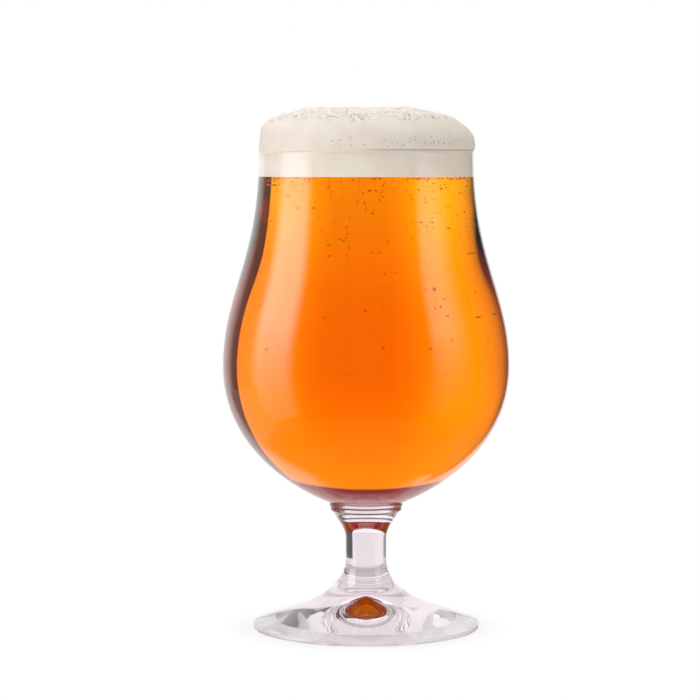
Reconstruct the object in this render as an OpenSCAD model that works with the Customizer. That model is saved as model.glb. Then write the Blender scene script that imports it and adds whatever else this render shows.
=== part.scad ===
// Stemmed tulip beer glass, poured full, with a head of foam standing over the rim.
// Millimetres, +Z up. The origin is the centre of the plane that the foot rests on.
// Foot, stem, collar and bowl stand on each other at flat round seats, in that order.

/* [Foot] */
// Diameter over the foot's round edge
foot_d = 76.3; // [64:0.1:90]
// Height of the foot, from the table to the stem's seat
foot_h = 23.1; // [18:0.1:30]
// Thickness of the round edge
foot_edge_t = 1.6; // [1:0.1:3]
// Fall of the upper face where it meets the edge, in degrees
foot_fall = 20; // [10:1:24]
// How far the flat fall reaches in from the edge
foot_fall_reach = 14.3; // [8:0.1:18]
// How far the flare keeps the stem's upright direction
foot_flare_reach = 12.6; // [6:0.1:16]
// Width of the flat ring that stands on the table
rest_ring_w = 8; // [3:0.5:14]
// Rise of the hollow under the foot, on the axis
hollow_rise = 6.7; // [3:0.1:7.5]
// How far the hollow's tip stays flat, out from the axis
hollow_tip_reach = 2.8; // [0.5:0.1:4]
// Slope of the hollow where it leaves the rest ring, in degrees
hollow_slope = 4; // [3:1:8]
// How far the hollow keeps that slope
hollow_slope_reach = 13.5; // [6:0.1:18]

/* [Stem] */
// Diameter of the straight stem
stem_d = 13.7; // [10:0.1:18]
// Length from the foot's seat to the collar
stem_len = 16.2; // [12:0.1:40]
// Diameter of the flared top, under the collar
stem_top_d = 22.5; // [19:0.1:24]
// Length of the flare at the top
stem_flare_len = 9.6; // [7:0.1:11.5]
// Lean of the flare where it leaves the collar, from upright, in degrees
stem_flare_lean = 30; // [10:1:36]
// How far the flare keeps that lean
stem_lean_reach = 4.7; // [2:0.1:6]
// How far the flare keeps the stem's upright direction
stem_flare_reach = 3.8; // [2:0.1:6]

/* [Collar] */
// Diameter over the upper of the collar's two rings
collar_d = 24.6; // [22.5:0.1:30]
// Diameter over its lower ring
collar_low_d = 24; // [22.5:0.1:30]
// Height of the collar, half of which is the width of each ring's round edge
collar_h = 2.8; // [1.6:0.1:3.6]
// How far each round edge turns from level, up to the groove between the rings, in degrees
collar_groove_turn = 70; // [40:5:80]

/* [Bowl] */
// Height from the collar to the rim
bowl_h = 117.5; // [105:0.1:135]
// Outer diameter at the rim
mouth_d = 71.6; // [62:0.1:84]
// Outer diameter at the belly
belly_d = 96; // [86:0.1:106]
// Height of the belly's widest line over the collar
belly_h = 45.9; // [42:0.1:54]
// Diameter of the seat on the collar
seat_d = 24; // [22:0.1:26]
// Wall at the rim
rim_wall = 2; // [1.2:0.1:3]
// Wall at the belly
belly_wall = 2.4; // [1.4:0.1:3.4]
// Thickness of the floor on the axis
floor_t = 5.9; // [4:0.1:9]
// How far the mouth keeps upright below the rim
neck_reach = 35.4; // [20:0.1:42]
// How far the belly keeps upright above its widest line
shoulder_reach = 24.5; // [12:0.1:30]
// How far the belly keeps upright below its widest line
underbelly_reach = 27.4; // [20:0.1:34]
// Rise of the underside where it leaves the seat, in degrees
seat_rise = 21; // [18:1:36]
// How far the underside keeps that rise
seat_reach = 12.5; // [8:0.1:20]
// How far the floor stays flat, out from the axis
floor_reach = 24; // [12:0.1:28]

/* [Beer] */
// Depth of the beer's surface below the rim
headspace = 8.5; // [4:0.1:30]

/* [Foam] */
// Rise of the crown over the rim
foam_rise = 15.6; // [8:0.1:24]
// How far the foam swells out past the rim
foam_swell = 0.6; // [0.2:0.1:1.4]
// How far the side of the foam stays upright
foam_side_reach = 11; // [5:0.1:14]
// How far the crown stays flat, out from the axis
foam_crown_reach = 30; // [12:0.1:34]

/* [Hidden] */

$fn = 96;
curve_steps = 18;
arc_steps = 8;

glass_tint = [0.9, 0.88, 0.91, 0.45];
beer_amber = [0.95, 0.44, 0.02];
foam_cream = [0.93, 0.89, 0.83];

stem_z = foot_h;
collar_z = stem_z + stem_len;
seat_z = collar_z + collar_h;
belly_z = seat_z + belly_h;
rim_z = seat_z + bowl_h;
floor_z = seat_z + floor_t;
beer_z = rim_z - headspace;
crown_z = rim_z + foam_rise;

stem_r = stem_d / 2;
mouth_r = mouth_d / 2;
belly_r = belly_d / 2;
seat_r = seat_d / 2;
lip_r = rim_wall / 2;
lip_z = rim_z - lip_r;
foot_edge_r = foot_edge_t / 2;
foot_edge_x = foot_d / 2 - foot_edge_r;

// Points are [radius, height]. A curve runs from a to d and leaves and arrives along its two handles.
function bezier(a, b, c, d, t) =
    pow(1 - t, 3) * a + 3 * pow(1 - t, 2) * t * b + 3 * (1 - t) * pow(t, 2) * c + pow(t, 3) * d;

function curve(a, b, c, d) = [for (i = [0 : curve_steps]) bezier(a, b, c, d, i / curve_steps)];

function arc(centre, radius, from, to) =
    [for (i = [0 : arc_steps])
        let (angle = from + (to - from) * i / arc_steps)
        centre + radius * [cos(angle), sin(angle)]];

function heading(angle) = [cos(angle), sin(angle)];

// Leaves out the first point, which the stretch before it ends on
function rest_of(points) = [for (i = [1 : len(points) - 1]) points[i]];

// Inside of the bowl, from the middle of the floor up to the round lip
function inner_wall() = concat(
    curve([0, floor_z], [floor_reach, floor_z],
          [belly_r - belly_wall, belly_z - underbelly_reach], [belly_r - belly_wall, belly_z]),
    rest_of(curve([belly_r - belly_wall, belly_z], [belly_r - belly_wall, belly_z + shoulder_reach],
                  [mouth_r - rim_wall, lip_z - neck_reach], [mouth_r - rim_wall, lip_z])));

// Round lip, from its inner side over the top to its outer side
function lip() = arc([mouth_r - lip_r, lip_z], lip_r, 180, 0);

// Outside of the bowl, from the lip down to the seat on the collar
function outer_wall() =
    let (rise = heading(seat_rise))
    concat(
        curve([mouth_r, lip_z], [mouth_r, lip_z - neck_reach],
              [belly_r, belly_z + shoulder_reach], [belly_r, belly_z]),
        rest_of(curve([belly_r, belly_z], [belly_r, belly_z - underbelly_reach],
                      [seat_r, seat_z] + seat_reach * rise, [seat_r, seat_z])));

// Radius of the inner wall at a height
function inner_radius(z) = lookup(z, [for (p = inner_wall()) [p[1], p[0]]]);

module revolve(points) {
    rotate_extrude()
        polygon(points);
}

module foot() {
    fall = heading(180 - foot_fall);
    rest_inner = [foot_edge_x - rest_ring_w, 0];
    edge_centre = [foot_edge_x, foot_edge_r];
    edge_top = edge_centre + foot_edge_r * heading(90 - foot_fall);
    color(glass_tint)
        revolve(concat(
            curve([0, hollow_rise], [hollow_tip_reach, hollow_rise],
                  rest_inner + hollow_slope_reach * heading(180 - hollow_slope), rest_inner),
            arc(edge_centre, foot_edge_r, -90, 90 - foot_fall),
            rest_of(curve(edge_top, edge_top + foot_fall_reach * fall,
                          [stem_r, stem_z - foot_flare_reach], [stem_r, stem_z])),
            [[0, stem_z]]));
}

module stem() {
    top_r = stem_top_d / 2;
    straight_z = collar_z - stem_flare_len;
    lean = heading(-90 - stem_flare_lean);
    color(glass_tint)
        revolve(concat(
            [[0, stem_z], [stem_r, stem_z]],
            curve([stem_r, straight_z], [stem_r, straight_z + stem_flare_reach],
                  [top_r, collar_z] + stem_lean_reach * lean, [top_r, collar_z]),
            [[0, collar_z]]));
}

module collar() {
    edge_r = collar_h / 4;
    low_centre = [collar_low_d / 2 - edge_r, collar_z + edge_r];
    high_centre = [collar_d / 2 - edge_r, seat_z - edge_r];
    color(glass_tint)
        revolve(concat(
            [[0, collar_z]],
            arc(low_centre, edge_r, -90, collar_groove_turn),
            arc(high_centre, edge_r, -collar_groove_turn, 90),
            [[0, seat_z]]));
}

module bowl() {
    color(glass_tint)
        revolve(concat(
            inner_wall(),
            rest_of(lip()),
            rest_of(outer_wall()),
            [[0, seat_z]]));
}

module beer() {
    color(beer_amber)
        revolve(concat(
            [for (p = inner_wall()) if (p[1] < beer_z) p],
            [[inner_radius(beer_z), beer_z], [0, beer_z]]));
}

module foam_head() {
    swell_centre = [mouth_r, lip_z + foam_swell];
    side = [mouth_r + foam_swell, lip_z + foam_swell];
    color(foam_cream)
        revolve(concat(
            [[0, beer_z], [inner_radius(beer_z), beer_z]],
            [for (p = inner_wall()) if (p[1] > beer_z) p],
            rest_of(lip()),
            rest_of(arc(swell_centre, foam_swell, -90, 0)),
            rest_of(curve(side, side + [0, foam_side_reach], [foam_crown_reach, crown_z], [0, crown_z]))));
}

foot();
stem();
collar();
bowl();
beer();
foam_head();
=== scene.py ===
"""Looks of a stemmed tulip beer glass, poured full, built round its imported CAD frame. Metres, +Z up."""
import math
import random

import bpy
import numpy as np
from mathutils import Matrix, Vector, noise


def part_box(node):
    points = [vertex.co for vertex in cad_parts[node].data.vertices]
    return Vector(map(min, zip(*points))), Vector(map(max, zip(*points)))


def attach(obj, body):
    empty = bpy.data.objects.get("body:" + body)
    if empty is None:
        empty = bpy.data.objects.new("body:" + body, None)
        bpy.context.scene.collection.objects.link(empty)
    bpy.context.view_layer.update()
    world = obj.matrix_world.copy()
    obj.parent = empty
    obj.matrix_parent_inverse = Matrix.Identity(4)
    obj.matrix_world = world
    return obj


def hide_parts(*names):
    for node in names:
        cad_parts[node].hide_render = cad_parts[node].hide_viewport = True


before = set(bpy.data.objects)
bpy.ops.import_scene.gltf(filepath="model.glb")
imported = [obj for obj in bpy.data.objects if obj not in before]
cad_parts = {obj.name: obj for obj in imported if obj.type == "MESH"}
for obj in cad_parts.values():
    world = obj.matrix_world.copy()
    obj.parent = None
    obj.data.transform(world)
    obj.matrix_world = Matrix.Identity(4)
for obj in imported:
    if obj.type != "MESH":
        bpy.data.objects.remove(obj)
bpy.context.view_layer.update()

MM = 0.001

# Heights that the solids give
REST_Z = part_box("foot")[0].z
STEM_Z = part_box("stem")[0].z
COLLAR_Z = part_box("collar")[0].z
SEAT_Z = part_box("bowl")[0].z
RIM_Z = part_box("bowl")[1].z
FLOOR_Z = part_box("beer")[0].z
BEER_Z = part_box("beer")[1].z
CROWN_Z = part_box("foam_head")[1].z

# Sizes of the glass: those of the solids, but for a belly that is a hair smaller, to stay inside their box
FOOT_R = 38.15 * MM
FOOT_EDGE_R = 0.8 * MM
FOOT_FALL = math.radians(20)
FOOT_FALL_REACH = 14.3 * MM
FOOT_FLARE_REACH = 12.6 * MM
REST_RING_W = 8 * MM
HOLLOW_RISE = 6.7 * MM
HOLLOW_TIP_REACH = 2.8 * MM
HOLLOW_SLOPE = math.radians(4)
HOLLOW_SLOPE_REACH = 13.5 * MM
STEM_R = 6.85 * MM
STEM_TOP_R = 11.25 * MM
STEM_FLARE_LEN = 9.6 * MM
STEM_FLARE_LEAN = math.radians(30)
STEM_LEAN_REACH = 4.7 * MM
STEM_FLARE_REACH = 3.8 * MM
COLLAR_R = 12.3 * MM
COLLAR_LOW_R = 12 * MM
COLLAR_GROOVE_TURN = math.radians(70)
MOUTH_R = 35.8 * MM
BELLY_R = 47.98 * MM
BELLY_H = 45.9 * MM
SEAT_R = 12 * MM
RIM_WALL = 2 * MM
BELLY_WALL = 2.4 * MM
NECK_REACH = 35.4 * MM
SHOULDER_REACH = 24.5 * MM
UNDERBELLY_REACH = 27.4 * MM
SEAT_RISE = math.radians(21)
SEAT_REACH = 12.5 * MM
# Inside, the wall runs down to a knee, over one step of the underside, and turns into the floor there. Round
# the knee it lies a little lower than the solid's, so that the beer ends where the photograph shows it
KNEE_STEP = 32
KNEE_WALL = 2.7 * MM
KNEE_FLOOR_REACH = 5.5 * MM
KNEE_WALL_REACH = 10.6 * MM
INNER_BELLY_REACH = 18.2 * MM
FLOOR_REACH = 11 * MM

COLLAR_EDGE_R = (SEAT_Z - COLLAR_Z) / 4
COLLAR_SEAM_R = COLLAR_R - COLLAR_EDGE_R
COLLAR_LOW_SEAM_R = COLLAR_LOW_R - COLLAR_EDGE_R
BELLY_Z = SEAT_Z + BELLY_H
LIP_R = RIM_WALL / 2
LIP_Z = RIM_Z - LIP_R

# How fine the lathed pieces are: segments round the axis, and steps along the stretches of their outlines
GLASS_SEGMENTS = 192
FOAM_SEGMENTS = 960
FOAM_STEP = 0.25 * MM
HOLLOW_STEPS = 90
EDGE_STEPS = 24
FOOT_FLARE_STEPS = 120
STEM_STEPS = 12
STEM_FLARE_STEPS = 60
COLLAR_STEPS = 32
UNDERSIDE_STEPS = 90
SIDE_STEPS = 90
FLOOR_STEPS = 60
FOAM_LIP_STEPS = 10
FOAM_SWELL_STEPS = 6
# Points closer than this are one point, and radii under this lie on the axis
SAME_POINT = 1e-9
ON_AXIS = 1e-7

# Optics
GLASS_IOR = 1.52
BEER_IOR = 1.34
WET_IOR = GLASS_IOR / BEER_IOR
FILM = 0.02 * MM


def smooth(x, low, high):
    """Rises from 0 at low to 1 at high."""
    t = min(max((x - low) / (high - low), 0.0), 1.0)
    return t * t * (3 - 2 * t)


def band(x, rise, fall):
    """Rises from 0 to 1 over one span, and falls back to 0 over another."""
    return smooth(x, *rise) * (1 - smooth(x, *fall))


def curve(a, b, c, d, steps):
    """Points of a cubic curve from a to d that leaves and arrives along its handles b and c."""
    points = []
    for i in range(steps + 1):
        t = i / steps
        u = 1 - t
        points.append(tuple(u**3 * a[k] + 3 * u * u * t * b[k] + 3 * u * t * t * c[k] + t**3 * d[k]
                            for k in (0, 1)))
    return points


def arc(centre, radius, start, end, steps):
    """Points of an arc, with its angles in radians."""
    angles = [start + (end - start) * i / steps for i in range(steps + 1)]
    return [(centre[0] + radius * math.cos(a), centre[1] + radius * math.sin(a)) for a in angles]


def underside():
    """Outside of the bowl from its seat on the collar to its belly."""
    handle = (SEAT_R + SEAT_REACH * math.cos(SEAT_RISE), SEAT_Z + SEAT_REACH * math.sin(SEAT_RISE))
    return curve((SEAT_R, SEAT_Z), handle, (BELLY_R, BELLY_Z - UNDERBELLY_REACH), (BELLY_R, BELLY_Z),
                 UNDERSIDE_STEPS)


def bowl_side(belly, mouth):
    """Side of the bowl from its belly to the lip, for radii of its outside or its inside."""
    return curve((belly, BELLY_Z), (belly, BELLY_Z + SHOULDER_REACH), (mouth, LIP_Z - NECK_REACH),
                 (mouth, LIP_Z), SIDE_STEPS)


def outer_wall():
    """Outside of the bowl from its seat on the collar to the lip."""
    return underside() + bowl_side(BELLY_R, MOUTH_R)[1:]


def inner_wall(gap=0.0):
    """Inside of the bowl from the middle of the floor to the lip, drawn in by a gap."""
    belly = BELLY_R - BELLY_WALL - gap
    mouth = MOUTH_R - RIM_WALL - gap
    floor = FLOOR_Z + gap
    before, knee, after = [Vector(p) for p in underside()[KNEE_STEP - 1:KNEE_STEP + 2]]
    way = (after - before).normalized()
    knee += Vector((-way.y, way.x)) * (KNEE_WALL + gap)
    bottom = curve((0, floor), (FLOOR_REACH, floor), knee - way * KNEE_FLOOR_REACH, knee, FLOOR_STEPS)
    low = curve(knee, knee + way * KNEE_WALL_REACH, (belly, BELLY_Z - INNER_BELLY_REACH), (belly, BELLY_Z),
                FLOOR_STEPS)
    return bottom + low[1:] + bowl_side(belly, mouth)[1:]


WALL_R, WALL_Z = zip(*inner_wall())


def inner_radius(z):
    """Radius of the bowl's inside at a height."""
    return float(np.interp(z, WALL_Z, WALL_R))


def new_mesh(name, verts, faces, *materials):
    """A mesh of points and faces that holds some materials."""
    mesh = bpy.data.meshes.new(name)
    mesh.from_pydata(verts, [], faces)
    for material in materials:
        mesh.materials.append(material)
    return mesh


def add_object(name, data):
    """Puts a mesh, lamp or camera into the scene."""
    obj = bpy.data.objects.new(name, data)
    bpy.context.collection.objects.link(obj)
    return obj


def hide_from(obj, *rays):
    """Keeps an object out of sight of some kinds of rays."""
    for ray in rays:
        setattr(obj, "visible_" + ray, False)


def join(stretches):
    """Runs stretches of points, each with a material index, into one outline and the index of each band."""
    points, bands = [], []
    for stretch, index in stretches:
        for p in stretch:
            if points and math.dist(points[-1], p) < SAME_POINT:
                continue
            if points:
                bands.append(index)
            points.append(p)
    return points, bands


def lathe(name, stretches, segments, materials, shape=None):
    """Turns an outline of [radius, height] points into one closed mesh, and may then reshape its points."""
    points, bands = join(stretches)
    angles = [2 * math.pi * j / segments for j in range(segments)]
    rings, verts = [], []
    for r, z in points:
        if r < ON_AXIS:
            rings.append([len(verts)] * segments)
            verts.append((0, 0, z))
        else:
            rings.append(list(range(len(verts), len(verts) + segments)))
            verts += [(r * math.cos(a), r * math.sin(a), z) for a in angles]
    faces, indices = [], []
    for k, index in enumerate(bands):
        low, high = rings[k], rings[k + 1]
        for j in range(segments):
            n = (j + 1) % segments
            corners = list(dict.fromkeys((low[j], low[n], high[n], high[j])))
            faces.append(corners)
            indices.append(index)
    if shape:
        verts = [shape(Vector(v)) for v in verts]
    mesh = new_mesh(name, verts, faces, *materials)
    mesh.polygons.foreach_set("material_index", indices)
    mesh.polygons.foreach_set("use_smooth", [True] * len(faces))
    turns = [k for k in range(1, len(bands)) if bands[k] != bands[k - 1]]
    sharp = {frozenset((rings[k][j], rings[k][j - 1])) for k in turns for j in range(segments)}
    if sharp:
        for edge in mesh.edges:
            edge.use_edge_sharp = frozenset(edge.vertices) in sharp
    return add_object(name, mesh)


def new_material(name):
    """A material with an empty node tree and its output node."""
    material = bpy.data.materials.new(name)
    material.use_nodes = True
    tree = material.node_tree
    tree.nodes.clear()
    output = tree.nodes.new("ShaderNodeOutputMaterial")
    return material, tree, output


def add_noise(tree, scale, detail=2.0):
    """Noise in the object's own metres."""
    coords = tree.nodes.new("ShaderNodeTexCoord")
    texture = tree.nodes.new("ShaderNodeTexNoise")
    texture.inputs["Scale"].default_value = scale
    texture.inputs["Detail"].default_value = detail
    tree.links.new(coords.outputs["Object"], texture.inputs["Vector"])
    return texture


def clear_glass(name, ior, tint, wave=0.0):
    """Polished glass, with the faint waviness of a pressed surface where wave is its depth."""
    material, tree, output = new_material(name)
    shader = tree.nodes.new("ShaderNodeBsdfPrincipled")
    shader.inputs["Base Color"].default_value = (*tint, 1)
    shader.inputs["Roughness"].default_value = 0.0
    shader.inputs["IOR"].default_value = ior
    shader.inputs["Transmission Weight"].default_value = 1.0
    if wave:
        bump = tree.nodes.new("ShaderNodeBump")
        bump.inputs["Distance"].default_value = wave
        tree.links.new(add_noise(tree, scale=90.0).outputs[0], bump.inputs["Height"])
        tree.links.new(bump.outputs["Normal"], shader.inputs["Normal"])
    tree.links.new(shader.outputs["BSDF"], output.inputs["Surface"])
    return material


def seam_glass():
    """Where pieces are fused, or wet foam lies on the glass, no surface of its own shows."""
    material, tree, output = new_material("glass_seam")
    clear = tree.nodes.new("ShaderNodeBsdfTransparent")
    tree.links.new(clear.outputs["BSDF"], output.inputs["Surface"])
    return material


def beer_material():
    """Clear amber beer: the colour is taken out of the light along its way through."""
    material, tree, output = new_material("amber_beer")
    shader = tree.nodes.new("ShaderNodeBsdfPrincipled")
    shader.inputs["Base Color"].default_value = (1, 1, 1, 1)
    shader.inputs["Roughness"].default_value = 0.0
    shader.inputs["IOR"].default_value = 1.0
    shader.inputs["Transmission Weight"].default_value = 1.0
    tree.links.new(shader.outputs["BSDF"], output.inputs["Surface"])
    absorb = tree.nodes.new("ShaderNodeVolumeAbsorption")
    absorb.inputs["Color"].default_value = (0.995, 0.78, 0.0, 1)
    absorb.inputs["Density"].default_value = 100.0
    tree.links.new(absorb.outputs["Volume"], output.inputs["Volume"])
    return material


# Painted shade and highlight on the crown: how sharply creases and ridges bend where the painted shade and
# highlight are strongest, and the colours painted there
FOAM_PAINTED_SHADE_AND_HIGHLIGHT = ((-0.17, (0.44, 0.38, 0.33)), (0.15, (0.99, 0.97, 0.94)))


def paint_shade_and_highlight(tree, colour, relief):
    """Paints shade into creases and highlights onto ridges: blends colours over a colour socket by how
    sharply the surface bends.
    """
    bend = tree.nodes.new("ShaderNodeAttribute")
    bend.attribute_name = "bend"
    for sharpest, paint in relief:
        amount = tree.nodes.new("ShaderNodeMapRange")
        amount.inputs["From Min"].default_value = 0.0
        amount.inputs["From Max"].default_value = sharpest
        tree.links.new(bend.outputs["Fac"], amount.inputs["Value"])
        mix = tree.nodes.new("ShaderNodeMixRGB")
        tree.links.new(amount.outputs[0], mix.inputs["Fac"])
        tree.links.new(colour, mix.inputs["Color1"])
        mix.inputs["Color2"].default_value = (*paint, 1)
        colour = mix.outputs["Color"]
    return colour


def foam_material(name, low, high, relief=()):
    """Foam: soft, mottled between two colours, with a fine grain, and with painted shade in creases and
    painted highlights on ridges where these are given.
    """
    material, tree, output = new_material(name)
    shader = tree.nodes.new("ShaderNodeBsdfPrincipled")
    shader.inputs["Roughness"].default_value = 0.55
    shader.inputs["Subsurface Weight"].default_value = 0.15
    shader.inputs["Subsurface Scale"].default_value = 0.6 * MM
    mottle = tree.nodes.new("ShaderNodeValToRGB")
    mottle.color_ramp.elements[0].position = 0.3
    mottle.color_ramp.elements[0].color = (*low, 1)
    mottle.color_ramp.elements[1].position = 0.7
    mottle.color_ramp.elements[1].color = (*high, 1)
    tree.links.new(add_noise(tree, scale=160.0, detail=4.0).outputs[0], mottle.inputs[0])
    colour = mottle.outputs[0]
    if relief:
        colour = paint_shade_and_highlight(tree, colour, relief)
    tree.links.new(colour, shader.inputs["Base Color"])
    coords = tree.nodes.new("ShaderNodeTexCoord")
    cells = tree.nodes.new("ShaderNodeTexVoronoi")
    cells.inputs["Scale"].default_value = 1800.0
    tree.links.new(coords.outputs["Object"], cells.inputs["Vector"])
    bump = tree.nodes.new("ShaderNodeBump")
    bump.inputs["Distance"].default_value = 0.08 * MM
    tree.links.new(cells.outputs["Distance"], bump.inputs["Height"])
    tree.links.new(bump.outputs["Normal"], shader.inputs["Normal"])
    tree.links.new(shader.outputs["BSDF"], output.inputs["Surface"])
    return material


def bubble_material():
    """Gas bubbles in the beer: small clear beads that look a little darker than the beer round them."""
    material, tree, output = new_material("gas_bubble")
    shader = tree.nodes.new("ShaderNodeBsdfGlass")
    shader.inputs["Color"].default_value = (0.8, 0.7, 0.55, 1)
    shader.inputs["Roughness"].default_value = 0.0
    shader.inputs["IOR"].default_value = 1 / BEER_IOR
    tree.links.new(shader.outputs["BSDF"], output.inputs["Surface"])
    return material


GLASS = clear_glass("clear_glass", GLASS_IOR, tint=(0.985, 0.97, 0.98))
PRESSED_GLASS = clear_glass("pressed_glass", GLASS_IOR, tint=(0.82, 0.735, 0.775), wave=0.06 * MM)
WET_GLASS = clear_glass("wet_glass", WET_IOR, tint=(1, 1, 1))
SEAM = seam_glass()
BEER = beer_material()
# The dry foam has painted shade in its creases and painted highlights on its ridges
FOAM = foam_material("cream_foam", (0.845, 0.77, 0.69), (0.9, 0.845, 0.77), FOAM_PAINTED_SHADE_AND_HIGHLIGHT)
# Painted light: a brighter copy of the foam for where it lies behind the glass, which makes up for light that
# the glass takes away
LIT_WET_FOAM = foam_material("lit_wet_foam", (0.95, 0.875, 0.77), (0.99, 0.94, 0.85))
# Painted shade: a darker copy of the foam for its underside in the beer
SHADED_UNDERSIDE_FOAM = foam_material("shaded_underside_foam", (0.75, 0.63, 0.48), (0.86, 0.75, 0.6))
# Painted shade: dark beads that stand for the shade in open pores
PORE_SHADE = foam_material("shaded_foam", (0.2, 0.14, 0.1), (0.36, 0.27, 0.2))
BUBBLE = bubble_material()


def make_foot():
    """Flared foot with a round edge, a flat rest ring and a hollow underneath."""
    edge_centre = (FOOT_R - FOOT_EDGE_R, REST_Z + FOOT_EDGE_R)
    rest_inner = edge_centre[0] - REST_RING_W
    tip_z = REST_Z + HOLLOW_RISE
    slope = (rest_inner - HOLLOW_SLOPE_REACH * math.cos(HOLLOW_SLOPE),
             REST_Z + HOLLOW_SLOPE_REACH * math.sin(HOLLOW_SLOPE))
    hollow = curve((0, tip_z), (HOLLOW_TIP_REACH, tip_z), slope, (rest_inner, REST_Z), HOLLOW_STEPS)
    edge = arc(edge_centre, FOOT_EDGE_R, -math.pi / 2, math.pi / 2 - FOOT_FALL, EDGE_STEPS)
    top = edge[-1]
    handle = (top[0] - FOOT_FALL_REACH * math.cos(FOOT_FALL), top[1] + FOOT_FALL_REACH * math.sin(FOOT_FALL))
    flare = curve(top, handle, (STEM_R, STEM_Z - FOOT_FLARE_REACH), (STEM_R, STEM_Z), FOOT_FLARE_STEPS)
    return lathe("glass_foot", [(hollow, 0), (edge, 0), (flare, 0), ([flare[-1], (0, STEM_Z)], 1)],
                 GLASS_SEGMENTS, [PRESSED_GLASS, SEAM])


def make_stem():
    """Short stem, straight below and flared at the top."""
    straight_z = COLLAR_Z - STEM_FLARE_LEN
    lean = (STEM_TOP_R - STEM_LEAN_REACH * math.sin(STEM_FLARE_LEAN),
            COLLAR_Z - STEM_LEAN_REACH * math.cos(STEM_FLARE_LEAN))
    straight = [(STEM_R, STEM_Z + (straight_z - STEM_Z) * i / STEM_STEPS) for i in range(STEM_STEPS + 1)]
    flare = curve((STEM_R, straight_z), (STEM_R, straight_z + STEM_FLARE_REACH), lean, (STEM_TOP_R, COLLAR_Z),
                  STEM_FLARE_STEPS)
    seam = [(COLLAR_LOW_SEAM_R, COLLAR_Z), (0, COLLAR_Z)]
    stretches = [([(0, STEM_Z), straight[0]], 1), (straight, 0), (flare, 0), (seam[:1], 0), (seam, 1)]
    return lathe("glass_stem", stretches, GLASS_SEGMENTS, [PRESSED_GLASS, SEAM])


def make_collar():
    """Two rings with a groove between them."""
    edge = arc((COLLAR_LOW_SEAM_R, COLLAR_Z + COLLAR_EDGE_R), COLLAR_EDGE_R, -math.pi / 2, COLLAR_GROOVE_TURN,
               COLLAR_STEPS)
    edge += arc((COLLAR_SEAM_R, SEAT_Z - COLLAR_EDGE_R), COLLAR_EDGE_R, -COLLAR_GROOVE_TURN, math.pi / 2,
                COLLAR_STEPS)
    return lathe("glass_collar", [([(0, COLLAR_Z), edge[0]], 1), (edge, 0), ([edge[-1], (0, SEAT_Z)], 1)],
                 GLASS_SEGMENTS, [PRESSED_GLASS, SEAM])


def make_bowl():
    """Bowl whose inside is wet below the beer's surface and covered by foam above it."""
    seam = [(0, SEAT_Z), (COLLAR_SEAM_R, SEAT_Z)]
    lip = arc((MOUTH_R - LIP_R, LIP_Z), LIP_R, 0, math.pi, EDGE_STEPS)
    inside = inner_wall()[::-1]
    beer_line = (inner_radius(BEER_Z), BEER_Z)
    in_foam = [p for p in inside if p[1] > BEER_Z] + [beer_line]
    in_beer = [beer_line] + [p for p in inside if p[1] < BEER_Z]
    return lathe("glass_bowl", [(seam, 2), (outer_wall(), 0), (lip, 0), (in_foam, 2), (in_beer, 1)],
                 GLASS_SEGMENTS, [GLASS, WET_GLASS, SEAM])


def make_beer():
    """Beer that fills the bowl, a film's width off the glass."""
    wall = [p for p in inner_wall(FILM) if p[1] < BEER_Z - FILM]
    top = (inner_radius(BEER_Z) - FILM, BEER_Z)
    return lathe("beer_body", [(wall + [top], 0), ([top, (0, BEER_Z)], 0)], GLASS_SEGMENTS, [BEER])


# Outline of the poured foam, a little inside its solid
FOAM_GAP = 3 * FILM
FOAM_FIRST_STEP = 0.2 * MM
FOAM_SIDE_R = 36 * MM
FOAM_SWELL = 0.25 * MM
FOAM_SWELL_START = 0.5 - math.pi / 2
FOAM_SIDE_REACH = 10 * MM
FOAM_CROWN_REACH = 33 * MM
FOAM_CROWN_DROP = 1.5 * MM
FOAM_ARCH = 1.1
# Low lumps on the crown: place across, place towards the back, spread and height
FOAM_LUMPS = ((-17 * MM, -3 * MM, 8 * MM, 0.8 * MM), (11 * MM, -2 * MM, 8 * MM, 0.95 * MM))
# The foam hangs over the rim on its right and leans to its left higher up
FOAM_OVER_RIM = 0.1 * MM
FOAM_HANG = 0.2 * MM
FOAM_HANG_Z = RIM_Z + 0.2 * MM
FOAM_LEAN = 1.1 * MM
FOAM_LEAN_Z = (164 * MM, 169.5 * MM)
# Where the crown gets rough, and the width and height of the waves along that border and on the side
FOAM_ROUGH_Z = (168 * MM, 171.6 * MM)
FOAM_BORDER_WAVE = (7 * MM, 1.5 * MM)
FOAM_SIDE_WAVE = (14 * MM, 0.15 * MM)
# Ridges of the rough crown, in mm: width and height of wide and fine ones, and of the waves that bend them
FOAM_WIDE = (5.5, 0.9)
FOAM_FINE = (2.6, 0.55)
FOAM_BEND = (3, 1.5)
# How deep the ridges sink in mm, how sharp and how squat they are, and the patches where they are weaker
FOAM_SINK = 0.75
FOAM_SHARP = 2.4
FOAM_SQUAT = 1.6
FOAM_PATCH_W = 9 * MM
FOAM_PATCH_SPAN = (-0.5, 0.3)
FOAM_PATCH_LOW = 0.35
# Places in the noise that patches, wide ridges and fine ridges are taken from
FOAM_PATCH_AT = Vector((3, 1, 7))
FOAM_WIDE_AT = Vector((5, 2, 8))
FOAM_FINE_AT = Vector((9, 4, 2))
# Shares of the foam's height between which waves on the side set in, and relief turns from sideways to up
FOAM_WAVE_RISE = (0.02, 0.2)
FOAM_TURN_RISE = (0.35, 1.0)
# A crease under the foam, just over the rim, on its right, which the light shades and which also has shade
# painted into it
FOAM_CREASE = 0.6 * MM
FOAM_CREASE_Z = RIM_Z - 0.1 * MM
FOAM_CREASE_SPAN = (0.3 * MM, 1.2 * MM)
FOAM_CREASE_SIDE = (-0.3, 0.35)
FOAM_CREASE_PAINTED_SHADE = 0.04
FOAM_SEED = 3

# Blender's vector noise starts from another place each run unless it is seeded
noise.seed_set(FOAM_SEED)


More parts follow.
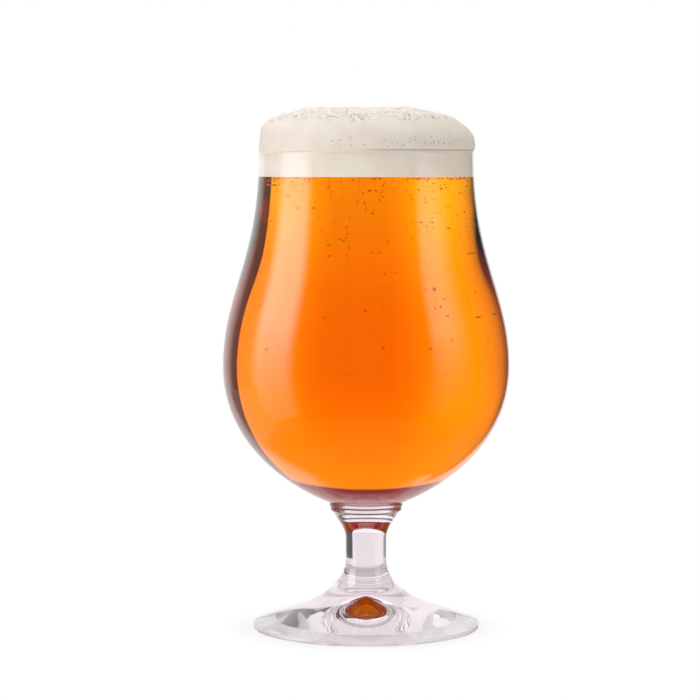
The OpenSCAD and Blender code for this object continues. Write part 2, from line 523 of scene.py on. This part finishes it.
def in_crease(p):
    """1 in the middle of the crease, and 0 away from it."""
    side = smooth(p.x / math.hypot(p.x, p.y), *FOAM_CREASE_SIDE)
    return side * (1 - smooth(abs(p.z - FOAM_CREASE_Z), *FOAM_CREASE_SPAN))


def crown_relief(p):
    """How far ridges and creases push the rough crown out at a point, in mm."""
    patch = smooth(noise.noise(p / FOAM_PATCH_W + FOAM_PATCH_AT), *FOAM_PATCH_SPAN)
    squat = Vector((p.x, p.y, FOAM_SQUAT * p.z)) / MM
    bent = squat + FOAM_BEND[1] * noise.noise_vector(squat / FOAM_BEND[0])
    wide = 1 - FOAM_SHARP * abs(noise.noise(bent / FOAM_WIDE[0] + FOAM_WIDE_AT))
    fine = 1 - FOAM_SHARP * abs(noise.noise(bent / FOAM_FINE[0] + FOAM_FINE_AT))
    strength = FOAM_PATCH_LOW + (1 - FOAM_PATCH_LOW) * patch
    return strength * (FOAM_WIDE[1] * wide + FOAM_FINE[1] * fine - FOAM_SINK)


def shape_foam(p):
    """Turns a point of the even dome into one of poured foam: lopsided, lumpy and bubbly on its crown."""
    r = math.hypot(p.x, p.y)
    if p.z < LIP_Z or r < ON_AXIS:
        return p
    outside = smooth(r, MOUTH_R - FOAM_OVER_RIM, MOUTH_R + FOAM_OVER_RIM)
    q = p - Vector((p.x, p.y, 0)) / r * FOAM_CREASE * in_crease(p) * outside
    if p.z < FOAM_HANG_Z:
        return q + Vector((FOAM_HANG * outside, 0, 0))
    rise = (p.z - RIM_Z) / (CROWN_Z - RIM_Z)
    q.x += FOAM_HANG - (FOAM_HANG + FOAM_LEAN) * smooth(p.z, *FOAM_LEAN_Z)
    rough = smooth(p.z + FOAM_BORDER_WAVE[1] * noise.noise(p / FOAM_BORDER_WAVE[0]), *FOAM_ROUGH_Z)
    for x, y, spread, height in FOAM_LUMPS:
        q.z += height * math.exp(-((q.x - x) ** 2 + (q.y - y) ** 2) / spread**2) * rough
    out = FOAM_SIDE_WAVE[1] * noise.noise(p / FOAM_SIDE_WAVE[0]) * smooth(rise, *FOAM_WAVE_RISE)
    if rough:
        out += rough * crown_relief(p) * MM
    flat = Vector((q.x, q.y, 0)).normalized()
    level = smooth(rise, *FOAM_TURN_RISE)
    q += (flat * (1 - level) + Vector((0, 0, 1)) * level).normalized() * out
    q.z = min(q.z, CROWN_Z)
    return q


def foam_dome():
    """Even outline of the foam over the rim, from its side to its crown."""
    crown = CROWN_Z - FOAM_CROWN_DROP
    length = math.hypot(FOAM_SIDE_R, crown - RIM_Z) * FOAM_ARCH
    return curve((FOAM_SIDE_R, RIM_Z), (FOAM_SIDE_R, RIM_Z + FOAM_SIDE_REACH), (FOAM_CROWN_REACH, crown),
                 (0, crown), round(length / FOAM_STEP))


def store_bend(mesh):
    """Stores at each point how sharply the surface bends there: above 0 on ridges, below 0 in creases. Over
    the rim's crease it is lowered further, which paints shade there.
    """
    count = len(mesh.vertices)
    places, normals = np.empty(count * 3), np.empty(count * 3)
    mesh.vertices.foreach_get("co", places)
    mesh.vertex_normals.foreach_get("vector", normals)
    places, normals = places.reshape(-1, 3), normals.reshape(-1, 3)
    ends = np.empty(len(mesh.edges) * 2, dtype=np.int32)
    mesh.edges.foreach_get("vertices", ends)
    start, end = ends.reshape(-1, 2).T
    way = places[end] - places[start]
    way /= np.linalg.norm(way, axis=1)[:, None]
    drop = np.zeros(count)
    np.add.at(drop, start, -(way * normals[start]).sum(axis=1))
    np.add.at(drop, end, (way * normals[end]).sum(axis=1))
    neighbours = np.bincount(ends, minlength=count)
    drop /= neighbours
    bend = drop.copy()
    np.add.at(bend, start, drop[end])
    np.add.at(bend, end, drop[start])
    bend /= neighbours + 1
    # Painted shade in the crease over the rim
    for k in np.flatnonzero(abs(places[:, 2] - FOAM_CREASE_Z) < FOAM_CREASE_SPAN[1]):
        bend[k] -= FOAM_CREASE_PAINTED_SHADE * in_crease(Vector(places[k]))
    mesh.attributes.new("bend", "FLOAT", "POINT").data.foreach_set("value", bend)


def make_foam():
    """Head of foam: wet against the glass, over the lip, and dry on its dome. Against the glass its colour is
    brighter, which is painted light, and its underside is darker, which is painted shade.
    """
    bottom = BEER_Z + FOAM_GAP
    wall = [(inner_radius(BEER_Z) - FOAM_GAP, bottom)]
    wall += [p for p in inner_wall(FOAM_GAP) if p[1] > bottom + FOAM_FIRST_STEP]
    lip = arc((MOUTH_R - LIP_R, LIP_Z), LIP_R + FOAM_GAP, math.pi, math.pi / 4, FOAM_LIP_STEPS)
    swell = arc((FOAM_SIDE_R - FOAM_SWELL, RIM_Z), FOAM_SWELL, FOAM_SWELL_START, 0, FOAM_SWELL_STEPS)
    stretches = [([(0, bottom), wall[0]], 2), (wall, 1), (lip, 1), (swell, 0), (foam_dome(), 0)]
    foam = lathe("foam_head", stretches, FOAM_SEGMENTS, [FOAM, LIT_WET_FOAM, SHADED_UNDERSIDE_FOAM], shape_foam)
    store_bend(foam.data)
    return foam


BEAD_ROWS = 5
BEAD_TURNS = 10


def bead_shape():
    """Points and faces of one round bead of radius 1."""
    verts = [(0, 0, -1)]
    for i in range(1, BEAD_ROWS):
        rise = math.pi * i / BEAD_ROWS - math.pi / 2
        turns = [2 * math.pi * j / BEAD_TURNS for j in range(BEAD_TURNS)]
        verts += [(math.cos(rise) * math.cos(t), math.cos(rise) * math.sin(t), math.sin(rise)) for t in turns]
    verts.append((0, 0, 1))
    top = 1 + (BEAD_ROWS - 2) * BEAD_TURNS
    pairs = [(j, (j + 1) % BEAD_TURNS) for j in range(BEAD_TURNS)]
    faces = [(0, 1 + n, 1 + j) for j, n in pairs]
    for low in range(1, top, BEAD_TURNS):
        high = low + BEAD_TURNS
        faces += [(low + j, low + n, high + n, high + j) for j, n in pairs]
    faces += [(top + j, top + n, len(verts) - 1) for j, n in pairs]
    return verts, faces


def bead_mesh(name, beads, material):
    """Many small round beads in one mesh, each with its own place and radius."""
    verts, faces = bead_shape()
    points, corners = [], []
    for place, radius in beads:
        start = len(points)
        points += [tuple(place + Vector(v) * radius) for v in verts]
        corners += [tuple(start + k for k in face) for face in faces]
    mesh = new_mesh(name, points, corners, material)
    mesh.polygons.foreach_set("use_smooth", [True] * len(corners))
    return add_object(name, mesh)


# Groups of open pores on the side of the foam: direction, spread, height in mm and number
PORE_GROUPS = ((-1.06, 0.16, 162.4, 34), (-1.36, 0.1, 162.8, 8), (-1.8, 0.08, 161.6, 7),
               (-2.4, 0.3, 163.5, 4), (-0.2, 0.3, 162.6, 7), (0.7, 0.4, 162.2, 22),
               (1.9, 0.3, 163.0, 18), (2.9, 0.3, 162.0, 14))
PORE_SPREAD_Z = 0.8
PORE_R = (0.13, 0.3)
PORE_SUNK = 0.6
PORE_SEED = 5


def foam_pores():
    """Small open pores, made as beads sunk into the side of the foam, dark with painted shade."""
    draw = random.Random(PORE_SEED)
    dome_r, dome_z = zip(*foam_dome())
    beads = []
    for direction, spread, height, number in PORE_GROUPS:
        for _ in range(number):
            a = draw.gauss(direction, spread)
            z = draw.gauss(height, PORE_SPREAD_Z) * MM
            r = float(np.interp(z, dome_z, dome_r))
            radius = draw.uniform(*PORE_R) * MM
            on_side = shape_foam(Vector((r * math.cos(a), r * math.sin(a), z)))
            beads.append((on_side - Vector((math.cos(a), math.sin(a), 0)) * radius * PORE_SUNK, radius))
    return bead_mesh("foam_pores", beads, PORE_SHADE)


def on_wall(angle, z, radius):
    """Place of a bubble of that radius that touches the inside of the bowl."""
    r = inner_radius(z) - radius - 2 * FILM
    return Vector((r * math.cos(angle), r * math.sin(angle), z))


# Bubbles on the glass, in mm: how many, how far down from the beer's surface, and their least and most radius
WALL_BUBBLES = 620
WALL_BUBBLE_TOP = 1
WALL_BUBBLE_DEPTH = 62
WALL_BUBBLE_R = (0.12, 0.3)
WALL_BUBBLE_SEED = 11
# Single larger bubbles on the glass: direction, height and radius in mm
LARGE_BUBBLES = ((-1.02, 115.0, 0.7), (-0.99, 109.5, 0.45), (-1.04, 109.0, 0.4), (-0.93, 99, 0.35))


def wall_bubbles():
    """Bubbles that cling to the glass, most of them in the upper third of the beer."""
    draw = random.Random(WALL_BUBBLE_SEED)
    beads = []
    for _ in range(WALL_BUBBLES):
        depth = draw.random() ** 2
        z = BEER_Z - WALL_BUBBLE_TOP * MM - depth * WALL_BUBBLE_DEPTH * MM
        radius = draw.uniform(*WALL_BUBBLE_R) * MM
        beads.append((on_wall(draw.uniform(0, 2 * math.pi), z, radius), radius))
    for angle, z, radius in LARGE_BUBBLES:
        beads.append((on_wall(angle, z * MM, radius * MM), radius * MM))
    return bead_mesh("wall_bubbles", beads, BUBBLE)


# Bubbles along the beer's edge: radius and drop in mm, angle to the next one, and how the row is broken
LINE_BUBBLE_R = (0.16, 0.38)
LINE_BUBBLE_DROP = (0, 0.25)
LINE_BUBBLE_STEP = (0.012, 0.045)
LINE_BREAKS = 4
LINE_BREAK_BELOW = -0.05
LINE_BUBBLE_SEED = 23


def line_bubbles():
    """A broken row of bubbles where the beer meets foam and glass."""
    draw = random.Random(LINE_BUBBLE_SEED)
    beads = []
    angle = 0.0
    while angle < 2 * math.pi:
        radius = draw.uniform(*LINE_BUBBLE_R) * MM
        z = BEER_Z - radius - 2 * FILM - draw.uniform(*LINE_BUBBLE_DROP) * MM
        if noise.noise(Vector((angle * LINE_BREAKS, 0.3, 1.7))) > LINE_BREAK_BELOW:
            beads.append((on_wall(angle, z, radius), radius))
        angle += draw.uniform(*LINE_BUBBLE_STEP)
    return bead_mesh("line_bubbles", beads, BUBBLE)


# Strings of rising bubbles, in mm: place across, place towards the back, lowest and highest point
STREAMS = ((-13.5, -24, 92, 135), (6, 9, 60, 120), (18, -12, 70, 140), (-4, 20, 66, 128), (-24, 6, 75, 138))
STREAM_LOW_R = 0.08
STREAM_GROWTH = 0.12
STREAM_SWAY = 0.5
STREAM_STEP = (0.8, 2.6)
STREAM_SEED = 31


def stream_bubbles():
    """Fine bubbles that rise in strings through the beer."""
    draw = random.Random(STREAM_SEED)
    beads = []
    for x, y, low, high in STREAMS:
        z = low
        while z < high:
            radius = STREAM_LOW_R + STREAM_GROWTH * (z - low) / (high - low)
            across = x + draw.uniform(-STREAM_SWAY, STREAM_SWAY)
            back = y + draw.uniform(-STREAM_SWAY, STREAM_SWAY)
            beads.append((Vector((across, back, z)) * MM, radius * MM))
            z += draw.uniform(*STREAM_STEP)
    return bead_mesh("stream_bubbles", beads, BUBBLE)


def dress(piece, slot, *nodes):
    """Fixes a piece to the glass, in place of solids. Its slot is not used."""
    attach(piece, "root")
    if nodes:
        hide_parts(*nodes)
    return piece


dress(make_foot(), "glass", "foot")
clear_pieces = [dress(make_stem(), "glass", "stem"),
                dress(make_collar(), "glass", "collar"),
                dress(make_bowl(), "glass", "bowl")]
dress(make_beer(), "beer", "beer")
dress(make_foam(), "foam", "foam_head")
dress(foam_pores(), "foam")
for make_bubbles in (wall_bubbles, line_bubbles, stream_bubbles):
    clear_pieces.append(dress(make_bubbles(), "beer"))
# Cycles would shade the foam behind clear glass as if the glass were opaque
for piece in clear_pieces:
    hide_from(piece, "shadow", "diffuse")


# Camera, with the photograph's horizon, middle axis of the glass and focal length in pixels
CAMERA_BACK = 0.8351
CAMERA_Z = 0.1532
FOCAL_PX = 2500
HORIZON_PX = 170.8
AXIS_PX = 366.2
IMAGE_PX = 700
SENSOR_MM = 36


def make_camera():
    """Camera at the photograph's place and angle."""
    data = bpy.data.cameras.new("camera")
    data.sensor_width = SENSOR_MM
    data.lens = FOCAL_PX / IMAGE_PX * SENSOR_MM
    camera = add_object("camera", data)
    pitch = math.atan((IMAGE_PX / 2 - HORIZON_PX) / FOCAL_PX)
    aside = (AXIS_PX - IMAGE_PX / 2) / FOCAL_PX * CAMERA_BACK
    camera.location = (-aside, -CAMERA_BACK, CAMERA_Z)
    camera.rotation_euler = (math.pi / 2 - pitch, 0, 0)
    bpy.context.scene.camera = camera


def add_math(tree, operation, first, second):
    """A math node between two sockets, or between a socket and a number."""
    node = tree.nodes.new("ShaderNodeMath")
    node.operation = operation
    for socket, value in zip(node.inputs, (first, second)):
        if isinstance(value, (int, float)):
            socket.default_value = value
        else:
            tree.links.new(value, socket)
    return node.outputs[0]


def seen_clearly(tree):
    """1 for rays that see a thing directly, mirrored or through glass, and 0 for light that spreads."""
    path = tree.nodes.new("ShaderNodeLightPath")
    mirrored = add_math(tree, "MAXIMUM", path.outputs["Is Camera Ray"], path.outputs["Is Glossy Ray"])
    seen = add_math(tree, "MAXIMUM", mirrored, path.outputs["Is Transmission Ray"])
    return add_math(tree, "MULTIPLY", seen, add_math(tree, "LESS_THAN", path.outputs["Diffuse Depth"], 0.5))


ROOM_TINT = (1, 0.945, 0.88)
SIDE_LIGHT = 0.46
TOP_LIGHT = 0.72


def make_world():
    """Soft light that is stronger from above, and a white background where it is seen."""
    world = bpy.data.worlds.new("studio")
    bpy.context.scene.world = world
    world.use_nodes = True
    tree = world.node_tree
    tree.nodes.clear()
    output = tree.nodes.new("ShaderNodeOutputWorld")
    dim = tree.nodes.new("ShaderNodeBackground")
    dim.inputs["Color"].default_value = (*ROOM_TINT, 1)
    coords = tree.nodes.new("ShaderNodeTexCoord")
    parts = tree.nodes.new("ShaderNodeSeparateXYZ")
    tree.links.new(coords.outputs["Generated"], parts.inputs[0])
    level = tree.nodes.new("ShaderNodeMapRange")
    level.inputs["To Min"].default_value = SIDE_LIGHT
    level.inputs["To Max"].default_value = TOP_LIGHT
    tree.links.new(parts.outputs["Z"], level.inputs["Value"])
    tree.links.new(level.outputs[0], dim.inputs["Strength"])
    white = tree.nodes.new("ShaderNodeBackground")
    white.inputs["Color"].default_value = (1, 1, 1, 1)
    mix = tree.nodes.new("ShaderNodeMixShader")
    tree.links.new(seen_clearly(tree), mix.inputs[0])
    tree.links.new(dim.outputs[0], mix.inputs[1])
    tree.links.new(white.outputs[0], mix.inputs[2])
    tree.links.new(mix.outputs[0], output.inputs["Surface"])


STAGE_TURNS = 48


def add_stage(name, verts, faces, material):
    """A surface of the studio, which isn't part of the object."""
    obj = add_object(name, new_mesh(name, verts, faces, material))
    return obj


def ring_points(r, z):
    """Points round the axis at a radius and height."""
    angles = [2 * math.pi * j / STAGE_TURNS for j in range(STAGE_TURNS)]
    return [(r * math.cos(a), r * math.sin(a), z) for a in angles]


def flat_disc(name, r, z, material):
    """A level disc that faces up."""
    return add_stage(name, ring_points(r, z), [tuple(range(STAGE_TURNS))], material)


def flat_ring(name, inner, outer, z, material):
    """A level ring that faces up."""
    pairs = [(j, (j + 1) % STAGE_TURNS) for j in range(STAGE_TURNS)]
    faces = [(j, STAGE_TURNS + j, STAGE_TURNS + n, n) for j, n in pairs]
    return add_stage(name, ring_points(inner, z) + ring_points(outer, z), faces, material)


# Painted shade round the foot: near it the floor's glow falls to a share, lowest within the first radius and
# full again from the second on, and the lit floor that shows there keeps the real shadow
PAINTED_SHADE_GLOW = 0.6
PAINTED_SHADE_FULL_R = 0.022
PAINTED_SHADE_END_R = 0.048
NEAR_FLOOR_R = 0.12
FAR_FLOOR_R = 8.0


def floor_material():
    """Pale floor that keeps the real shadow round the foot, with shade also painted there as its glow fades
    towards the foot, and looks white further out.
    """
    material, tree, output = new_material("pale_floor")
    diffuse = tree.nodes.new("ShaderNodeBsdfDiffuse")
    diffuse.inputs["Color"].default_value = (0.92, 0.92, 0.92, 1)
    glow = tree.nodes.new("ShaderNodeEmission")
    glow.inputs["Strength"].default_value = 1.0
    coords = tree.nodes.new("ShaderNodeTexCoord")
    away = tree.nodes.new("ShaderNodeVectorMath")
    away.operation = "LENGTH"
    tree.links.new(coords.outputs["Object"], away.inputs[0])
    white = tree.nodes.new("ShaderNodeMapRange")
    white.inputs["From Min"].default_value = PAINTED_SHADE_FULL_R
    white.inputs["From Max"].default_value = PAINTED_SHADE_END_R
    white.inputs["To Min"].default_value = PAINTED_SHADE_GLOW
    tree.links.new(away.outputs["Value"], white.inputs["Value"])
    mix = tree.nodes.new("ShaderNodeMixShader")
    tree.links.new(add_math(tree, "MULTIPLY", seen_clearly(tree), white.outputs[0]), mix.inputs[0])
    tree.links.new(diffuse.outputs[0], mix.inputs[1])
    tree.links.new(glow.outputs[0], mix.inputs[2])
    tree.links.new(mix.outputs[0], output.inputs["Surface"])
    return material


def make_floor():
    """A round floor near the foot, and a far one that only shows directly."""
    material = floor_material()
    hide_from(flat_disc("floor_near", NEAR_FLOOR_R, 0, material), "glossy")
    hide_from(flat_ring("floor_far", NEAR_FLOOR_R, FAR_FLOOR_R, 0, material), "glossy", "transmission")


# The flag lies over the foot. It fades away between two places towards the back
FLAG_GAP = 0.4 * MM
FLAG_R = 60 * MM
FLAG_RISE = 3 * MM
FLAG_FADE = (-15 * MM, -4 * MM)
FLAG_GLOW = 0.03


def make_flag():
    """Keeps the floor in front out of the bowl's underside: only in reflections, and clear from below."""
    material, tree, output = new_material("one_way_flag")
    side = tree.nodes.new("ShaderNodeNewGeometry")
    coords = tree.nodes.new("ShaderNodeTexCoord")
    parts = tree.nodes.new("ShaderNodeSeparateXYZ")
    tree.links.new(coords.outputs["Object"], parts.inputs[0])
    behind = tree.nodes.new("ShaderNodeMapRange")
    behind.inputs["From Min"].default_value = FLAG_FADE[0]
    behind.inputs["From Max"].default_value = FLAG_FADE[1]
    tree.links.new(parts.outputs["Y"], behind.inputs["Value"])
    black = tree.nodes.new("ShaderNodeEmission")
    black.inputs["Strength"].default_value = FLAG_GLOW
    clear = tree.nodes.new("ShaderNodeBsdfTransparent")
    mix = tree.nodes.new("ShaderNodeMixShader")
    tree.links.new(add_math(tree, "MAXIMUM", side.outputs["Backfacing"], behind.outputs[0]), mix.inputs[0])
    tree.links.new(black.outputs[0], mix.inputs[1])
    tree.links.new(clear.outputs[0], mix.inputs[2])
    tree.links.new(mix.outputs[0], output.inputs["Surface"])
    flag = flat_ring("flag", STEM_R + FLAG_GAP, FLAG_R, STEM_Z + FLAG_RISE, material)
    hide_from(flag, "camera", "diffuse", "transmission", "shadow")


LAMP_AWAY = 0.8
LAMP_HIGH = 1.2
LAMP_POWER = 4
# Lamps at the sides: name, turn from the camera's side of the glass in degrees, width and brightness
SIDE_LAMPS = (("soft_left", -52, 0.6, 0.99), ("soft_right", 70, 0.4, 0.04))
TOP_LAMP_AT = (0.1, 0.15, 1.1)
TOP_LAMP_D = 0.4
TOP_LAMP_ENERGY = 3
TOP_LAMP_TINT = (0.92, 0.97, 1)


def area_lamp(name, shape, size, energy):
    """A lamp that lights foam and floor, but is seen nowhere itself."""
    data = bpy.data.lights.new(name, "AREA")
    data.shape = shape
    data.size = size
    data.energy = energy
    lamp = add_object(name, data)
    hide_from(lamp, "camera", "glossy", "transmission")
    return lamp


def side_lamp(name, degrees, width, radiance):
    """Lights the foam and the floor from one side."""
    lamp = area_lamp(name, "RECTANGLE", width, LAMP_POWER * radiance * width * LAMP_HIGH)
    lamp.data.size_y = LAMP_HIGH
    turn = math.radians(degrees)
    lamp.location = (LAMP_AWAY * math.sin(turn), -LAMP_AWAY * math.cos(turn), LAMP_HIGH / 2)
    lamp.rotation_euler = (math.pi / 2, 0, turn)


def top_lamp():
    """Picks out the lumps on the crown from above."""
    lamp = area_lamp("soft_top", "DISK", TOP_LAMP_D, TOP_LAMP_ENERGY)
    lamp.data.color = TOP_LAMP_TINT
    lamp.location = TOP_LAMP_AT
    lamp.rotation_euler = (Vector(TOP_LAMP_AT) - Vector((0, 0, CROWN_Z))).to_track_quat("Z", "Y").to_euler()


PANEL_STEP = 1.5
EYE_Z = 0.1
WHITE = (1, 1, 1)


def bent_panel(name, across, up, distance, radiance, hidden=(), tint=WHITE):
    """A panel bent round the glass, seen only in it, and not by the kinds of rays that it is hidden from.

    It lies between two angles across, from straight behind the glass and above 0 on the right, and two angles
    up, as seen from the middle of the glass. A function of both, in degrees, gives its brightness."""
    columns = round((across[1] - across[0]) / PANEL_STEP)
    rows = round((up[1] - up[0]) / PANEL_STEP)
    verts, glow = [], []
    for i in range(columns + 1):
        a = across[0] + (across[1] - across[0]) * i / columns
        turn = math.radians(a)
        for k in range(rows + 1):
            e = up[0] + (up[1] - up[0]) * k / rows
            z = EYE_Z + distance * math.tan(math.radians(e))
            verts.append((distance * math.sin(turn), distance * math.cos(turn), z))
            glow.append(radiance(a, e))
    starts = [i * (rows + 1) + k for i in range(columns) for k in range(rows)]
    faces = [(s, s + 1, s + rows + 2, s + rows + 1) for s in starts]
    material, tree, output = new_material(name)
    level = tree.nodes.new("ShaderNodeAttribute")
    level.attribute_name = "glow"
    shine = tree.nodes.new("ShaderNodeEmission")
    shine.inputs["Color"].default_value = (*tint, 1)
    tree.links.new(level.outputs["Fac"], shine.inputs["Strength"])
    tree.links.new(shine.outputs[0], output.inputs["Surface"])
    panel = add_stage(name, verts, faces, material)
    panel.data.attributes.new("glow", "FLOAT", "POINT").data.foreach_set("value", glow)
    hide_from(panel, "camera", "shadow", "diffuse", *hidden)


# Brightness of what stands round the glass. Pairs are spans in degrees over which it rises or falls
GLOW_TINT = (1, 0.86, 0.89)
WALL_GLOW = 0.27
WALL_TOP_GLOW = 0.25
WALL_TOP = (13, 31)
WALL_FOOT = (-50, -30)
LEFT_LAMP_GLOW = 5.0
LEFT_LAMP_FALL = 28
LEFT_LAMP_START = (55, 68)
LEFT_LAMP_END = (91, 106)
RIGHT_LAMP_GLOW = 2.4
RIGHT_LAMP_FALL = 16
RIGHT_LAMP_START = (49, 58)
RIGHT_LAMP_END = (68, 94)
LAMP_TOP = 16
BACKDROP_GLOW = 1.08
BACKDROP_TOP_GLOW = 0.28
BACKDROP_TOP = (-4, 10)
LEFT_LIFT = 0.85
LEFT_LIFT_SPANS = ((3, 16), (16, 44))
RIGHT_LIFT = 0.53
RIGHT_LIFT_SPANS = ((7, 17), (20, 48))
LIFT_FOOT = (-30, -22)
LIFT_TOP = (3, 15)
LIFT_TOP_LOSS = 0.42
STRIP_LOSS = 0.65
STRIP_SPANS = ((40, 58), (60, 72))
ROOM_BACK_END = (36, 52)
ROOM_WALL_END = (100, 120)
FRONT_GLOW = 0.45
FRONT_LEFT_GLOW = 0.15
FRONT_LEFT = (170, 200)
FRONT_LOW_SHARE = 0.25
FRONT_LOW = (-33, -8)
RIGHT_STAND_GLOW = 0.09
LEFT_STAND_GLOW = 0.45
SCREEN_GLOW = 1.06
SCREEN_LEFT_GLOW = 0.12
SCREEN_LEFT = (5, 30)


def left_wall(e):
    """Dim wall on the left, paler towards its top and dark at its foot."""
    return (WALL_GLOW + WALL_TOP_GLOW * smooth(e, *WALL_TOP)) * smooth(e, *WALL_FOOT)


def left_lamp(a, e):
    """Big soft lamp on the left, brighter towards its top, and the dim wall past its end."""
    turn = 180 + a
    lamp = LEFT_LAMP_GLOW * min(1.0, math.exp((e - LAMP_TOP) / LEFT_LAMP_FALL))
    return lamp * band(turn, LEFT_LAMP_START, LEFT_LAMP_END) + left_wall(e) * smooth(turn, *LEFT_LAMP_END)


def right_lamp(a, e):
    """Smaller, weaker soft lamp on the right."""
    lamp = RIGHT_LAMP_GLOW * min(1.0, math.exp((e - LAMP_TOP) / RIGHT_LAMP_FALL))
    return lamp * band(180 - a, RIGHT_LAMP_START, RIGHT_LAMP_END)


def backlight(a, e):
    """White backdrop as the glass sees it: brighter to both sides, with a dimmer strip on the far left."""
    if a < 0:
        side = band(-a, *LEFT_LIFT_SPANS)
        lift = LEFT_LIFT
    else:
        side = band(a, *RIGHT_LIFT_SPANS)
        lift = RIGHT_LIFT
    lift *= smooth(e, *LIFT_FOOT) * (1 - LIFT_TOP_LOSS * smooth(e, *LIFT_TOP))
    level = BACKDROP_GLOW + lift * side + BACKDROP_TOP_GLOW * smooth(e, *BACKDROP_TOP) * (1 - side)
    return level * (1 - STRIP_LOSS * band(-a, *STRIP_SPANS))


def room(a, e):
    """Dark room as the glass mirrors it, with the backdrop fading into a dim wall on the left."""
    left = 360 - a
    return max(1 - smooth(left, *ROOM_BACK_END), left_wall(e) * (1 - smooth(left, *ROOM_WALL_END)))


def dim_room(a, e):
    """Front of the room as seen through the glass: dim, a little brighter on the left and darker low down."""
    low_share = FRONT_LOW_SHARE + (1 - FRONT_LOW_SHARE) * smooth(e, *FRONT_LOW)
    return (FRONT_GLOW + FRONT_LEFT_GLOW * smooth(a, *FRONT_LEFT)) * low_share


def stand(a, e):
    """Dark stand behind the glass on its right, and a paler one on its left."""
    return RIGHT_STAND_GLOW if a > 0 else LEFT_STAND_GLOW


def low_screen(a, e):
    """Pale card behind the stem, low enough that the beer looks over it."""
    return SCREEN_GLOW + SCREEN_LEFT_GLOW * smooth(-a, *SCREEN_LEFT)


ROOM_R = 1.3
BACKDROP_AWAY = 0.95
STAND_AWAY = 0.25
RAIL_AWAY = 0.2
SCREEN_AWAY = 0.05
CEILING_Z = 1.9
CEILING_GLOW = 0.22
CEILING_SPOT = 0.5
CEILING_SPOT_R = 0.5
# Panels round the glass: name, angles across and up, distance, brightness, rays they are hidden from and tint
PANELS = (("lamp_left", (-127, -72), (-35, 55), LAMP_AWAY, left_lamp, ("transmission",), GLOW_TINT),
          ("lamp_right", (84, 134), (-35, 55), LAMP_AWAY, right_lamp, ("transmission",), GLOW_TINT),
          ("backdrop", (-75, 90), (-50, 55), BACKDROP_AWAY, backlight, ("glossy",)),
          ("dark_room", (35, 325), (-80, 62), ROOM_R, room, ("transmission",), GLOW_TINT),
          ("dim_room", (90, 285), (-80, 62), ROOM_R, dim_room, ("glossy",)),
          ("dark_stand", (30.6, 86), (-50, 55), STAND_AWAY, stand),
          ("low_rail", (-90, -48), (-40, -15), RAIL_AWAY, stand),
          ("low_screen", (-41, 26), (-63, -46), SCREEN_AWAY, low_screen, ("glossy",)))


def make_ceiling():
    """Dim ceiling, which the glass of the foot shows through the beer."""
    material, tree, output = new_material("dim_ceiling")
    coords = tree.nodes.new("ShaderNodeTexCoord")
    level = tree.nodes.new("ShaderNodeTexGradient")
    level.gradient_type = "SPHERICAL"
    place = tree.nodes.new("ShaderNodeVectorMath")
    place.operation = "MULTIPLY"
    place.inputs[1].default_value = (1 / CEILING_SPOT_R, 1 / CEILING_SPOT_R, 0)
    tree.links.new(coords.outputs["Object"], place.inputs[0])
    tree.links.new(place.outputs[0], level.inputs["Vector"])
    shine = tree.nodes.new("ShaderNodeEmission")
    glow = add_math(tree, "MULTIPLY", level.outputs["Fac"], CEILING_SPOT)
    tree.links.new(add_math(tree, "ADD", glow, CEILING_GLOW), shine.inputs["Strength"])
    tree.links.new(shine.outputs[0], output.inputs["Surface"])
    hide_from(flat_disc("ceiling", ROOM_R, CEILING_Z, material), "camera", "diffuse", "shadow")


make_camera()
make_world()
make_floor()
make_flag()
for lamp_values in SIDE_LAMPS:
    side_lamp(*lamp_values)
top_lamp()
for panel_values in PANELS:
    bent_panel(*panel_values)
make_ceiling()

scene = bpy.context.scene
scene.view_settings.view_transform = "Standard"
scene.cycles.max_bounces = 24
scene.cycles.transmission_bounces = 24
scene.cycles.glossy_bounces = 12
scene.cycles.transparent_max_bounces = 32
